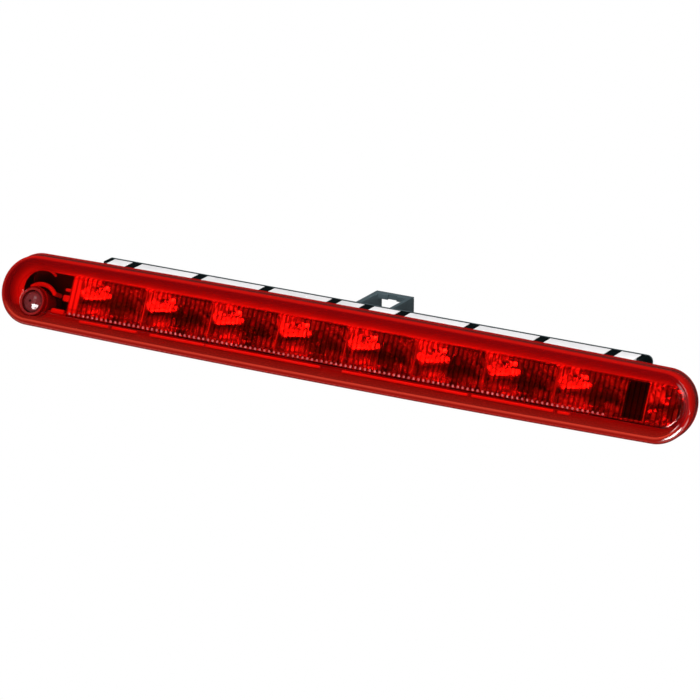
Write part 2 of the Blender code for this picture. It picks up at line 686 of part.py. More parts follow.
def make_jet_holder():
    """Turned holder, as (radius, distance behind its front): lip, collar, chamber and barbed hose nipple."""
    outer = [(0.0058, 0.0), (0.0069, 0.0), (0.0069, 0.0035), (0.0075, 0.0035), (0.0075, 0.0050)]
    outer += [(0.0069, 0.0050), (0.0069, 0.0125), (0.0030, 0.0150), (0.0022, 0.0165), (0.0022, 0.0185)]
    outer += [(0.0030, 0.0187), (0.0022, 0.0215), (0.0022, 0.0225), (0.0012, 0.0225)]
    inner = [(0.0012, 0.0135), (0.0045, 0.0115), (0.0063, 0.0095), (0.0063, 0.0012), (0.0058, 0.0)]
    holder = turned("jet_holder", outer + inner, BLACK, 24)
    point_back(holder, face_point(JET_X, JET_UP, HOLDER_FRONT_DEPTH), raked=True)
    smooth(holder)


def make_jet_seal():
    """Rubber ring between the holder's collar and the lens."""
    bpy.ops.mesh.primitive_torus_add(
        major_radius=JET_SEAL[0], minor_radius=JET_SEAL[1], major_segments=24, minor_segments=8,
        location=face_point(JET_X, JET_UP, JET_SEAL_DEPTH)
    )
    seal = bpy.context.object
    seal.name = "jet_seal"
    seal.rotation_euler = (pi / 2 - RAKE, 0, 0)
    seal.data.materials.append(RUBBER)
    for owner in list(seal.users_collection):
        owner.objects.unlink(seal)
    PARTS.objects.link(seal)


def make_jet_ball():
    """Drilled ball that aims the spray, hung on an empty at its centre."""
    pivot = bpy.data.objects.new("jet_tilt_axis", None)
    pivot.location = face_point(JET_X, JET_UP, JET_BALL_DEPTH)
    pivot.rotation_euler = (-RAKE, 0, 0)
    PARTS.objects.link(pivot)
    bm = bmesh.new()
    bmesh.ops.create_uvsphere(bm, u_segments=24, v_segments=14, radius=JET_BALL_RADIUS)
    ball = mesh_object("jet_ball", bm, BLACK)
    ball.parent = pivot
    drill = cutter("jet_drill", rod(JET_DRILL_RADIUS, (0, -TOOL_REACH, 0), 2 * TOOL_REACH, 10))
    drill.parent = pivot
    boolean(ball, drill)
    smooth(ball)


def make_jet_pipe():
    """Feed pipe that comes forward, arches over the holder and goes back again."""
    steps = 8
    first, last = PIPE_TURN
    route = []
    for step in range(steps + 1):
        turn = first + (last - first) * step / steps
        route.append((JET_X + PIPE_SWEEP * cos(turn), JET_UP + PIPE_SWEEP * sin(turn)))
    places = [face_point(*route[0], PIPE_ROOT_DEPTH)]
    places += [face_point(x, up, PIPE_DEPTH) for x, up in route]
    places.append(face_point(*route[-1], PIPE_ROOT_DEPTH))
    curve = bpy.data.curves.new("jet_pipe", "CURVE")
    curve.dimensions = "3D"
    curve.bevel_depth = PIPE_RADIUS
    curve.bevel_resolution = 2
    curve.use_fill_caps = True
    spline = curve.splines.new("POLY")
    spline.points.add(len(places) - 1)
    for point, place in zip(spline.points, places):
        point.co = (*place, 1.0)
    add_object("jet_pipe", curve, BLACK)


def main():
    """Builds every piece of the lamp."""
    make_outer_lens()
    make_lens_seal()
    make_inner_optic()
    make_reflector_tray()
    make_end_shade()
    make_housing()
    make_board()
    make_end_board()
    make_leds()
    make_board_parts()
    make_screws()
    make_socket()
    make_socket_seal()
    make_jet_holder()
    make_jet_seal()
    make_jet_ball()
    make_jet_pipe()


main()
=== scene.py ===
"""Third brake light, as a Blender add-on that is run as a script.

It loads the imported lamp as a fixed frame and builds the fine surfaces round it: the rolled red lens,
the fluted optic, the metallised cells, the softened mouldings, the jet's pocket and the small parts.
Everything is in metres, with -Y towards the following driver and +Z up.
"""

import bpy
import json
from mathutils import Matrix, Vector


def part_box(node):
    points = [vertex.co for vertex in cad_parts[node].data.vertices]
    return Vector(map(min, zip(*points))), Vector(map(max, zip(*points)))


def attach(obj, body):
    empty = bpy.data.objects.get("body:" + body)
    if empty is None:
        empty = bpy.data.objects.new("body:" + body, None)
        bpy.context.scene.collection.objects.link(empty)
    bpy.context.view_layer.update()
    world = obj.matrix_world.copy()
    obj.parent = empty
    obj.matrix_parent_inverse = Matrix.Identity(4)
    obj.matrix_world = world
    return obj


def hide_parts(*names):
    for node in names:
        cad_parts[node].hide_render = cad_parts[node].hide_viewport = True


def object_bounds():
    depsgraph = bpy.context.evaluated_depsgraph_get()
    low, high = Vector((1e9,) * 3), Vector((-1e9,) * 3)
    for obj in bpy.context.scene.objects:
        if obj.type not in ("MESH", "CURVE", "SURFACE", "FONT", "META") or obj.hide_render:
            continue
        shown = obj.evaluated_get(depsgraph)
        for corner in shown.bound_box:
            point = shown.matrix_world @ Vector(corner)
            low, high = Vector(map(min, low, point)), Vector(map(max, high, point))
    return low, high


bl_info = {
    "name": "Third Brake Light",
    "version": (1, 0, 0),
    "blender": (4, 5, 0),
    "location": "3D View > Sidebar > Brake Light",
    "description": "Builds the lens, optics, mouldings and studio of a third brake light",
    "category": "Object",
}

import json
from math import atan2, cos, pi, radians, sin, sqrt

import bmesh
import bpy
from mathutils import Matrix, Vector

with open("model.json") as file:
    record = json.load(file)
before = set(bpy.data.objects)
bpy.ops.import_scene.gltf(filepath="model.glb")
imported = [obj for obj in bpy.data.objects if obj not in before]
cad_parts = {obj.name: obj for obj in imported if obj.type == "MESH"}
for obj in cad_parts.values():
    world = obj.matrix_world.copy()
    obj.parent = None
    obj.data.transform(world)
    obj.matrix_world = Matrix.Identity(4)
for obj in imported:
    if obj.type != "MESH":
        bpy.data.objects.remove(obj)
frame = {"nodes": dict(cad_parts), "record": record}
CAD_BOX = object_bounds()
MOUNTS = {mount["name"]: mount for mount in frame["record"]["mounts"]}
JET_CENTRE = Vector(frame["record"]["behaviour"]["joints"][0]["pos_m"])

BODY = "lamp"
MM = 0.001

# The raked face: its angle comes from the nipple's axis, its place from the lens node
NIPPLE_AXIS = Vector(MOUNTS["hose_nipple_end"]["axis"])
RAKE = atan2(-NIPPLE_AXIS.z, NIPPLE_AXIS.y)
LENS_LOW, LENS_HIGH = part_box("outer_lens")
LENS_END = LENS_HIGH[0]
LENS_HALF = (LENS_HIGH[2] - LENS_LOW[2]) / 2 / cos(RAKE)
SKIRT = 5.0 * MM
FACE_Y = LENS_HIGH[1] - SKIRT - LENS_HALF * sin(RAKE)
LENS_CROWN = 1.2 * MM
RIM_START = 0.27 * MM
MOUTH_DEPTH = 3.15 * MM

# Fields of painted light on a cell, a satin white that stands for the bright reflections in its bowl: left,
# right, low and high as shares of its half sizes, and how strong
PAINTED_LOBE_FIELDS = (
    ((-1.20, -0.36, -0.16, 1.20), 1.0),
    ((-0.95, -0.30, -1.20, -0.66), 0.50),
    ((0.26, 1.20, 0.34, 0.95), 0.42),
    ((0.28, 0.80, -1.20, -0.70), 0.45),
)
PAINTED_LOBE_EDGE = 0.16
RUBBER = (0.016, 0.016, 0.017)
# Bowls: half size and bore of a full cell, half width of the end cell, where their floor is, and how much of
# the depth their sides and their top take up
CELL_HALF, CELL_HALF_HEIGHT, CELL_BORE = 18.6 * MM, 8.3 * MM, 3.4 * MM
END_CELL_HALF = 9.2 * MM
CELL_FLOOR_Y = -13.0 * MM
SIDE_SHARE, TOP_SHARE = 0.65, 0.35
BOWL_WALL, MOUTH_STEP = 0.2 * MM, 0.05 * MM
# Row of beads on the window: ends, distance apart, place up the face, and how far the window stands out
BEADS_LEFT, BEADS_RIGHT, BEAD_PITCH = -147.0 * MM, 148.0 * MM, 2.65 * MM
BEADS_UP, WINDOW_RISE = -8.35 * MM, 3.9 * MM
BEAD_RADIUS, BEAD_HEIGHT = 0.62 * MM, 0.30 * MM
# Upright pins of a cell, from its diode: across, low and high end
PIN_RADIUS, PIN_INSET = 0.95 * MM, 0.7 * MM
FLASH_PINS = ((-12.6, 0.6, 2.8), (-10.4, 2.2, 5.4), (-8.2, 2.8, 6.4), (-6.0, 3.0, 6.6))
# Ribs below the optic, left and right end
RIB_SPANS = (
    (-143.3, -126.5), (-124.4, -110.5), (-102.6, -71.6), (-70.9, -6.7),
    (5.5, 74.0), (76.0, 119.7), (121.8, 128.2),
)
RIB_UP, RIB_DEPTH, RIB_ROUND = (-11.75 * MM, -10.25 * MM), (0.3 * MM, 2.9 * MM), 0.45 * MM
# Window of the lens: how far it starts from the left and right ends, its rise, and the radius of its edge
WINDOW_LEFT, WINDOW_RIGHT = 10.3 * MM, 4.6 * MM
WINDOW_SLOPE_TOP, WINDOW_EDGE = 3.3 * MM, 0.6 * MM
RIM_STEPS, SLOPE_STEPS, EDGE_STEPS = 9, 6, 4
RIM_WEIGHT = 0.55
# Optic strip: its two faces, behind the lens face
OPTIC_FRONT, OPTIC_BACK = 1.1 * MM, 2.7 * MM
JET_HOLE_RADIUS, JET_HOLE_REACH = 7.3 * MM, 12 * MM
# Pocket of the jet: lugs on its wall as (across, up, depth) pairs, the ridge round the jet (a white arc that
# is a painted highlight), and the gasket
POCKET_LUGS = (
    ((-156.6, -153.6), (2.8, 4.4), (3.0, 6.0)),
    ((-157.0, -153.4), (-2.2, 1.0), (3.0, 6.5)),
    ((-162.0, -154.5), (-9.2, -6.6), (2.6, 5.5)),
)
LUG_ROUND = 0.75 * MM
RIDGE_RADIUS, RIDGE_HALF_WIDTH = 11.0 * MM, 0.65 * MM
RIDGE_CENTRE = (-168.0 * MM, 0.5 * MM, -0.9 * MM)
RIDGE_START, RIDGE_TURN = radians(52.0), radians(103.0)
GASKET_PROFILE = ((2.4, 9.5), (8.8, 9.5), (9.1, 10.0), (8.8, 10.5), (2.4, 10.5), (2.4, 9.5))
# Tray: where its inside begins, the land of its flange, the heights over which its lower flange takes painted
# shade, and the ends of pocket and window
TRAY_WALL_Y, TRAY_INSIDE, TRAY_LAND = -8.2 * MM, 3.5 * MM, 3.35 * MM
TRAY_INSIDE_HALF, TRAY_SHADE_HEIGHTS = 9.2 * MM, (-8.0 * MM, -9.0 * MM)
POCKET_END_X, WINDOW_START_X = -0.1450, -0.1490
FINGER_Y = -1.0 * MM
# Height over which the rim's painted light changes from its upper bands (painted highlight and shade) to its
# lower ones (painted floor reflection and highlight)
BAND_CHANGE = (-5.0 * MM, -10.0 * MM)
LED_XS = [sum(corner[0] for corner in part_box(f"led_{index}")) / 2 for index in range(1, 10)]


# ---------------------------------------------------------------------------------------------------
# Sizes and colours


class LensSettings(bpy.types.PropertyGroup):
    """The red cover."""

    wall: bpy.props.FloatProperty(
        name="Wall", description="Thickness of the cover", default=1.2 * MM, unit="LENGTH"
    )
    rim: bpy.props.FloatProperty(
        name="Rim", description="Width of the rolled rim", default=2.6 * MM, unit="LENGTH"
    )
    window_half: bpy.props.FloatProperty(
        name="Window half height", description="Half height of the raised window", default=11.3 * MM,
        unit="LENGTH"
    )
    tint: bpy.props.FloatVectorProperty(
        name="Tint", description="What one wall surface lets through",
        default=(0.965, 0.235, 0.185), subtype="COLOR", min=0.0, max=1.0
    )
    # Painted highlight: the beads' pale pink stands for the glint on each small dome.
    bead_highlight: bpy.props.FloatVectorProperty(
        name="Beads", description="Colour of the small domes on the window", default=(0.40, 0.040, 0.040),
        subtype="COLOR", min=0.0, max=1.0
    )
    # Painted highlight: the colour painted into the rim for the light it would catch.
    painted_rim_highlight: bpy.props.FloatVectorProperty(
        name="Edge colour", description="Colour of light caught in the rim", default=(0.56, 0.006, 0.004),
        subtype="COLOR", min=0.0, max=1.0
    )


class OpticSettings(bpy.types.PropertyGroup):
    """The clear fluted strip and the metallised cells."""

    pitch: bpy.props.FloatProperty(
        name="Flute pitch", description="Width of one flute", default=2.7 * MM, unit="LENGTH"
    )
    swell: bpy.props.FloatProperty(
        name="Flute swell", description="How far a flute stands out", default=0.32 * MM, unit="LENGTH"
    )
    bead_row: bpy.props.FloatProperty(
        name="Bead row", description="Share of the strip's height that the row of beads takes", default=0.17,
        min=0.0, max=1.0
    )
    cell_depth: bpy.props.FloatProperty(
        name="Cell depth", description="Sag of a cell's reflector", default=10.0 * MM, unit="LENGTH"
    )


class MouldingSettings(bpy.types.PropertyGroup):
    """White tray, slate housing and the black parts."""

    edge: bpy.props.FloatProperty(
        name="Edge radius", description="Softening of moulded edges", default=0.2 * MM, unit="LENGTH"
    )
    white: bpy.props.FloatVectorProperty(
        name="Tray", description="Colour of the tray", default=(0.80, 0.79, 0.80), subtype="COLOR",
        min=0.0, max=1.0
    )
    slate: bpy.props.FloatVectorProperty(
        name="Housing", description="Colour of the housing", default=(0.060, 0.085, 0.095), subtype="COLOR",
        min=0.0, max=1.0
    )
    black: bpy.props.FloatVectorProperty(
        name="Black parts", description="Colour of the black parts", default=(0.010, 0.011, 0.012),
        subtype="COLOR", min=0.0, max=1.0
    )


class StageSettings(bpy.types.PropertyGroup):
    """Floor, lights and camera."""

    drop: bpy.props.FloatProperty(
        name="Floor below", description="Height of the lamp above the floor", default=0.30, unit="LENGTH"
    )
    dark: bpy.props.FloatProperty(
        name="Room", description="What polished surfaces mirror between the soft boxes", default=0.02, min=0.0
    )
    ambient: bpy.props.FloatProperty(
        name="Ambient", description="Even light on matt surfaces", default=0.22, min=0.0
    )
    azimuth: bpy.props.FloatProperty(
        name="Azimuth", description="Camera turned to the right", default=radians(29.27), subtype="ANGLE"
    )
    elevation: bpy.props.FloatProperty(
        name="Elevation", description="Camera above the horizon", default=radians(18.354), subtype="ANGLE"
    )
    roll: bpy.props.FloatProperty(
        name="Roll", description="Camera rolled clockwise", default=radians(-0.561), subtype="ANGLE"
    )
    distance: bpy.props.FloatProperty(
        name="Distance", description="Camera to lens face", default=2.5045, unit="LENGTH"
    )
    focal: bpy.props.FloatProperty(
        name="Focal length", description="In millimetres on a 36 mm sensor", default=267.78
    )


# ---------------------------------------------------------------------------------------------------
# Places


def face_point(x, up, depth):
    """A point given across the raked face, up it and behind it."""
    return Vector((x, FACE_Y + up * sin(RAKE) + depth * cos(RAKE), up * cos(RAKE) - depth * sin(RAKE)))


def drawn_point(x, up, depth):
    """A point on a raked plane, carried straight back from the face, as the mould draws it."""
    return Vector((x, FACE_Y + up * sin(RAKE) + depth / cos(RAKE), up * cos(RAKE)))


def stadium(left, right, half, crown=0.0, arc_steps=40, edge_steps=40):
    """A long outline with round ends and slightly bowed edges, as (x, up) pairs."""
    radius = half - crown
    points = []
    for side, end in ((1, right), (-1, left)):
        centre = end - side * radius
        other = left + radius if side > 0 else right - radius
        middle = (centre + other) / 2
        for step in range(arc_steps + 1):
            turn = pi * (step / arc_steps - 0.5) + (0 if side > 0 else pi)
            points.append((centre + radius * cos(turn), radius * sin(turn)))
        for step in range(1, edge_steps):
            x = centre + (other - centre) * step / edge_steps
            bow = crown * (1 - ((x - middle) / (centre - middle)) ** 2)
            points.append((x, side * (radius + bow)))
    return points


# ---------------------------------------------------------------------------------------------------
# Mesh helpers


def finished(name, bm, material, node, smooth_angle=35.0):
    """Makes a piece from a bmesh, shades it, hangs it on the lamp's body and hides the node it stands for."""
    piece = linked_object(name, bm)
    piece.data.materials.append(material)
    piece.data.shade_smooth()
    piece.data.set_sharp_from_angle(angle=radians(smooth_angle))
    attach(piece, BODY)
    if node is not None:
        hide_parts(node)
    return piece


def loop_edges(bm, points):
    """A closed loop of edges through the points."""
    verts = [bm.verts.new(point) for point in points]
    return [bm.edges.new((verts[index - 1], verts[index])) for index in range(len(verts))]


def bridged(bm, loops):
    """Joins each loop of edges to the next with a band of faces."""
    for first, second in zip(loops, loops[1:]):
        bmesh.ops.bridge_loops(bm, edges=first + second)


def sharp_edges(bm, angle):
    """The edges between two faces that turn by more than an angle."""
    limit = radians(angle)
    return [edge for edge in bm.edges if len(edge.link_faces) == 2 and edge.calc_face_angle(0) > limit]


def rounded(bm, edges, width, segments=2):
    """Bevels edges by a width."""
    bmesh.ops.bevel(
        bm, geom=edges, offset=width, offset_type="OFFSET", segments=segments, profile=0.5, affect="EDGES",
        clamp_overlap=True, material=-1
    )


def laid_on_face(bm, centre):
    """Leans a mesh back with the face and moves it to its centre."""
    bmesh.ops.rotate(bm, matrix=Matrix.Rotation(-RAKE, 3, "X"), verts=bm.verts)
    bmesh.ops.translate(bm, vec=centre, verts=bm.verts)


def linked_object(name, bm):
    """Turns a bmesh into an object in the scene."""
    mesh = bpy.data.meshes.new(name)
    bm.to_mesh(mesh)
    bm.free()
    item = bpy.data.objects.new(name, mesh)
    bpy.context.scene.collection.objects.link(item)
    return item


def softened_bmesh(node, width, angle=30.0):
    """A copy of a node's mesh, merged, with its sharp edges bevelled."""
    bm = bmesh.new()
    bm.from_mesh(frame["nodes"][node].data)
    bmesh.ops.remove_doubles(bm, verts=bm.verts, dist=1e-6)
    bmesh.ops.dissolve_limit(bm, angle_limit=radians(1.0), verts=bm.verts, edges=bm.edges)
    rounded(bm, sharp_edges(bm, angle), width)
    bmesh.ops.triangulate(bm, faces=[face for face in bm.faces if len(face.verts) > 4])
    return bm


def turned_bmesh(profile, steps=64):
    """A profile of (radius, along) pairs spun about +Y from the origin."""
    bm = bmesh.new()
    verts = [bm.verts.new((radius, along, 0)) for radius, along in profile]
    edges = [bm.edges.new(pair) for pair in zip(verts, verts[1:])]
    bmesh.ops.spin(
        bm, geom=verts + edges, cent=(0, 0, 0), axis=(0, 1, 0), angle=2 * pi, steps=steps, use_merge=True
    )
    bmesh.ops.remove_doubles(bm, verts=bm.verts, dist=1e-6)
    bmesh.ops.recalc_face_normals(bm, faces=bm.faces)
    return bm


# ---------------------------------------------------------------------------------------------------
# Material helpers


class Tree:
    """A material's nodes, added and linked by short calls."""

    def __init__(self, name):
        self.material = bpy.data.materials.new(name)
        self.material.use_nodes = True
        self.nodes = self.material.node_tree.nodes
        self.links = self.material.node_tree.links
        self.nodes.clear()
        self.output = self.nodes.new("ShaderNodeOutputMaterial")
        self.place = self.add("TexCoord").outputs["Object"]

    def add(self, kind, **settings):
        """A node of a kind, with its settings and its inputs by name."""
        node = self.nodes.new("ShaderNode" + kind)
        inputs = settings.pop("inputs", {})
        for key, value in settings.items():
            setattr(node, key, value)
        for key, value in inputs.items():
            self.feed(node.inputs[key], value)
        return node

    def feed(self, socket, value):
        """Links a socket to another, or gives it a value."""
        if isinstance(value, bpy.types.NodeSocket):
            self.links.new(value, socket)
        elif socket.type == "RGBA" and len(value) == 3:
            socket.default_value = (*value, 1.0)
        else:
            socket.default_value = value

    def stretched(self, *scale):
        """The place on the piece, scaled apart along X, Y and Z."""
        return self.add("Mapping", inputs={"Vector": self.place, "Scale": scale}).outputs[0]

    def noise(self, scale, detail=2.0, place=None):
        """Noise per metre of the piece."""
        inputs = {"Vector": place or self.place, "Scale": scale, "Detail": detail}
        return self.add("TexNoise", inputs=inputs).outputs["Fac"]

    def math(self, operation, first, second=0.0):
        """One step of arithmetic."""
        return self.add("Math", operation=operation, inputs={0: first, 1: second}).outputs[0]

    def ramp(self, value, low, high, to_low=0.0, to_high=1.0):
        """A clamped change of range."""
        ranges = {"Value": value, "From Min": low, "From Max": high, "To Min": to_low, "To Max": to_high}
        return self.add("MapRange", inputs=ranges).outputs[0]

    def blend(self, factor, first, second):
        """A mix of two colours."""
        node = self.add("Mix", data_type="RGBA")
        self.feed(node.inputs[0], factor)
        self.feed(node.inputs[6], first)
        self.feed(node.inputs[7], second)
        return node.outputs[2]

    def bump(self, height, strength, distance):
        """A normal from a height."""
        inputs = {"Height": height, "Strength": strength, "Distance": distance}
        return self.add("Bump", inputs=inputs).outputs[0]

    def shader(self, **inputs):
        """A Principled shader; names use _ for a space."""
        node = self.add("BsdfPrincipled")
        for key, value in inputs.items():
            self.feed(node.inputs[key.replace("_", " ")], value)
        return node.outputs[0]

    def mixed(self, factor, first, second):
        """A mix of two shaders."""
        node = self.add("MixShader")
        self.feed(node.inputs[0], factor)
        self.feed(node.inputs[1], first)
        self.feed(node.inputs[2], second)
        return node.outputs[0]

    def done(self, shader):
        """Links the shader to the surface and returns the material."""
        self.links.new(shader, self.output.inputs["Surface"])
        return self.material


def moulded_plastic(name, colour, roughness, finger_y=None):
    """A spark-eroded moulding: faint cloudiness, fine grain and uneven gloss; darker ahead of finger_y."""
    tree = Tree(name)
    cloud = tree.noise(60.0, 3.0)
    darker = tuple(0.8 * part for part in colour)
    lighter = tuple(min(1.0, 1.12 * part) for part in colour)
    shade = tree.blend(cloud, darker, lighter)
    if finger_y is not None:
        y = tree.add("SeparateXYZ", inputs={"Vector": tree.place}).outputs["Y"]
        shade = tree.blend(tree.math("LESS_THAN", y, finger_y), shade, (0.001, 0.003, 0.0035))
    fine = tree.noise(9000.0, 2.0)
    rough = tree.ramp(tree.noise(350.0, 2.0), 0.3, 0.7, roughness - 0.07, roughness + 0.07)
    normal = tree.bump(fine, 0.5, 0.02 * MM)
    return tree.done(tree.shader(Base_Color=shade, Roughness=rough, Normal=normal))


def red_lens_material(settings):
    """Tinted clear plastic with a gloss coat; on the rim and skirt a solid red is mixed in whose colours are
    painted light and shade: a painted highlight along the top edge with a painted shade band inside it, and
    on the lower side a painted floor reflection, a painted highlight line and a painted dark edge.
    """
    tree = Tree("red_lens_plastic")
    rim = tree.add("Attribute", attribute_name="rim").outputs["Fac"]
    geometry = tree.add("NewGeometry")
    streak_place = tree.stretched(3.0, 160.0, 160.0)
    streak = tree.noise(1.0, 3.0, place=streak_place)
    ripple = tree.bump(tree.noise(45.0, 1.0), 0.12, 0.3 * MM)
    clear = tree.add("BsdfTransparent", inputs={"Color": tuple(settings.tint)}).outputs[0]
    # Painted highlight on the upper rim: a bright red with random streaks stands for the light it catches,
    # with a painted shade band inside it.
    painted_rim_light = tree.blend(streak, tuple(settings.painted_rim_highlight), tuple(0.82 * part for part in settings.painted_rim_highlight))
    upper = tree.blend(tree.ramp(rim, 0.62, 0.72), (0.19, 0.001, 0.002), painted_rim_light)
    # Lower rim: a painted reflection of the floor as a brownish band turning into a painted highlight line,
    # then a duller band and a painted dark edge.
    painted_low_highlight = tree.blend(tree.ramp(rim, 0.50, 0.535), (0.27, 0.010, 0.006), (0.62, 0.052, 0.028))
    lower = tree.blend(tree.ramp(rim, 0.56, 0.66), painted_low_highlight, (0.30, 0.008, 0.005))
    lower = tree.blend(tree.ramp(rim, 0.86, 0.95), lower, (0.07, 0.001, 0.001))
    height = tree.add("SeparateXYZ", inputs={"Vector": tree.place}).outputs["Z"]
    # The painted light and shade change with height, from the upper bands to the lower ones.
    painted_rim_light = tree.blend(tree.ramp(height, *BAND_CHANGE), upper, lower)
    solid = tree.shader(Base_Color=painted_rim_light, Roughness=0.35, Normal=ripple, Specular_IOR_Level=0.0)
    # Share of the solid red with painted light and shade: none on the window, most on the rim.
    depth = tree.ramp(rim, 0.02, 0.58, 0.0, 0.66)
    body = tree.mixed(depth, clear, solid)
    gloss = tree.add("BsdfGlossy", inputs={"Roughness": 0.035, "Normal": ripple}).outputs[0]
    fresnel = tree.add("Fresnel", inputs={"IOR": 1.49, "Normal": ripple}).outputs[0]
    front = tree.math("SUBTRACT", 1.0, geometry.outputs["Backfacing"])
    return tree.done(tree.mixed(tree.math("MULTIPLY", fresnel, front), body, gloss))


def clear_optic_material():
    """Clear acrylic that bends what is behind it and lets lamps through; its flute valleys and bead row are
    darkened as painted shade.
    """
    tree = Tree("clear_acrylic")
    rough = tree.ramp(tree.noise(200.0), 0.3, 0.7, 0.01, 0.06)
    painted_groove_shade = tree.add("Attribute", attribute_name="painted_groove_shade").outputs["Fac"]
    # Painted shade: the acrylic is darkened in the flute valleys and at the bead row.
    shade = tree.blend(painted_groove_shade, (1.0, 0.97, 0.96), (0.26, 0.22, 0.24))
    glass = tree.shader(Base_Color=shade, Roughness=rough, Transmission_Weight=1.0, IOR=1.49)
    path = tree.add("LightPath").outputs["Is Shadow Ray"]
    clear = tree.add("BsdfTransparent", inputs={"Color": (0.95, 0.9, 0.9)}).outputs[0]
    return tree.done(tree.mixed(path, glass, clear))


def metallised_material():
    """Vacuum-metallised plastic with a faint orange-peel; in its painted fields a satin white with lighter
    streaks is painted light standing for the bright reflections in the bowl.
    """
    tree = Tree("metallised_plastic")
    rough = tree.ramp(tree.noise(220.0, 3.0), 0.3, 0.75, 0.07, 0.20)
    shade = tree.blend(tree.noise(90.0), (0.86, 0.84, 0.82), (0.95, 0.94, 0.93))
    normal = tree.bump(tree.noise(700.0, 1.0), 0.15, 0.05 * MM)
    mirror = tree.shader(Base_Color=shade, Metallic=1.0, Roughness=rough, Normal=normal)
    # Painted highlight: upright streaks that go from grey to white in the painted fields.
    lobe_streak_place = tree.stretched(1000.0, 170.0, 170.0)
    lobe_streak_grain = tree.noise(1.0, 2.0, place=lobe_streak_place)
    painted_lobe_streaks = tree.blend(tree.ramp(lobe_streak_grain, 0.44, 0.58), (0.36, 0.35, 0.34), (1.0, 0.99, 0.98))
    painted_lobe_satin = tree.shader(Base_Color=painted_lobe_streaks, Roughness=0.6, Normal=normal)
    painted_lobe_field = tree.add("Attribute", attribute_name="painted_lobe").outputs["Fac"]
    painted_lobe_field = tree.math("MULTIPLY", painted_lobe_field, tree.ramp(lobe_streak_grain, 0.25, 0.55, 0.55, 1.0))
    return tree.done(tree.mixed(painted_lobe_field, mirror, painted_lobe_satin))


def metal_material(name, colour, roughness):
    """Plated steel with fine drawn scratches."""
    tree = Tree(name)
    place = tree.stretched(400.0, 9000.0, 9000.0)
    scratch = tree.noise(1.0, 2.0, place=place)
    shade = tree.blend(tree.noise(500.0), tuple(0.8 * part for part in colour), colour)
    rough = tree.ramp(scratch, 0.3, 0.7, roughness - 0.08, roughness + 0.1)
    normal = tree.bump(scratch, 0.2, 0.01 * MM)
    return tree.done(tree.shader(Base_Color=shade, Metallic=1.0, Roughness=rough, Normal=normal))


# ---------------------------------------------------------------------------------------------------
# Lens


def lens_rings(settings):
    """The lens profile from skirt to window: (left inset, right inset, up inset, rise, rim weight)."""
    rings = []
    for step in range(RIM_STEPS + 1):
        turn = pi / 2 * step / RIM_STEPS
        inset = RIM_START + settings.rim * (1 - cos(turn))
        weight = 1.0 - (1.0 - RIM_WEIGHT) * step / RIM_STEPS
        rings.append((inset, inset, inset, settings.rim * sin(turn), weight))
    window = LENS_HALF - settings.window_half
    flat = RIM_START + settings.rim
    for step in range(1, SLOPE_STEPS + 1):
        share = step / SLOPE_STEPS
        eased = 1 - (1 - share) ** 2
        rings.append((
            flat + (WINDOW_LEFT - flat) * share,
            flat + (WINDOW_RIGHT - flat) * share,
            flat + (window - flat) * share,
            settings.rim + (WINDOW_SLOPE_TOP - settings.rim) * eased,
            RIM_WEIGHT * (1 - share),
        ))
    for step in range(1, EDGE_STEPS + 1):
        turn = pi / 2 * step / EDGE_STEPS
        inset = WINDOW_EDGE * (1 - cos(turn))
        rise = WINDOW_SLOPE_TOP + WINDOW_EDGE * sin(turn)
        rings.append((WINDOW_LEFT + inset, WINDOW_RIGHT + inset, window + inset, rise, 0.0))
    return rings


def make_lens(settings):
    """Rolled lens with its raised window, straight skirt and the hole for the jet."""
    bm = bmesh.new()
    rim_layer = bm.verts.layers.float.new("rim")
    rings = lens_rings(settings)
    loops = []
    outline = stadium(-LENS_END + RIM_START, LENS_END - RIM_START, LENS_HALF - RIM_START, LENS_CROWN)
    back = [face_point(x, up, 0) + Vector((0, SKIRT, 0)) for x, up in outline]
    loops.append(loop_edges(bm, back))
    weights = [1.0]
    for left, right, inset, rise, weight in rings:
        outline = stadium(-LENS_END + left, LENS_END - right, LENS_HALF - inset, LENS_CROWN)
        loops.append(loop_edges(bm, [face_point(x, up, -rise) for x, up in outline]))
        weights.append(weight)
    for loop, weight in zip(loops, weights):
        for edge in loop:
            for vert in edge.verts:
                vert[rim_layer] = weight
    bridged(bm, loops)
    bmesh.ops.contextual_create(bm, geom=loops[-1])
    bmesh.ops.recalc_face_normals(bm, faces=bm.faces)
    bm.normal_update()
    cap = max(bm.faces, key=lambda face: len(face.verts))
    if cap.normal.y > 0:
        bmesh.ops.reverse_faces(bm, faces=bm.faces)
    material = red_lens_material(settings)
    piece = finished("lens_shell", bm, material, "outer_lens", smooth_angle=50.0)
    wall = piece.modifiers.new("wall", "SOLIDIFY")
    wall.thickness = settings.wall
    wall.offset = -1
    cutter = port_cutter()
    port = piece.modifiers.new("port", "BOOLEAN")
    port.object = cutter
    port.solver = "MANIFOLD"
    apply_modifiers(piece)
    bpy.data.objects.remove(cutter, do_unlink=True)


def make_window_beads(settings):
    """A row of small domes moulded on the window, just above its lower edge, coloured a pale pink that is a
    painted highlight for their glints.
    """
    bm = bmesh.new()
    count = round((BEADS_RIGHT - BEADS_LEFT) / BEAD_PITCH)
    squashed = Matrix.Rotation(-RAKE, 4, "X") @ Matrix.Diagonal((BEAD_RADIUS, BEAD_HEIGHT, BEAD_RADIUS, 1.0))
    for index in range(count + 1):
        centre = face_point(BEADS_LEFT + index * BEAD_PITCH, BEADS_UP, -WINDOW_RISE)
        place = Matrix.Translation(centre) @ squashed
        bmesh.ops.create_uvsphere(bm, u_segments=12, v_segments=8, radius=1.0, matrix=place)
    plastic = moulded_plastic("bead_highlight_plastic", tuple(settings.bead_highlight), 0.42)
    finished("window_beads", bm, plastic, None, smooth_angle=60.0)


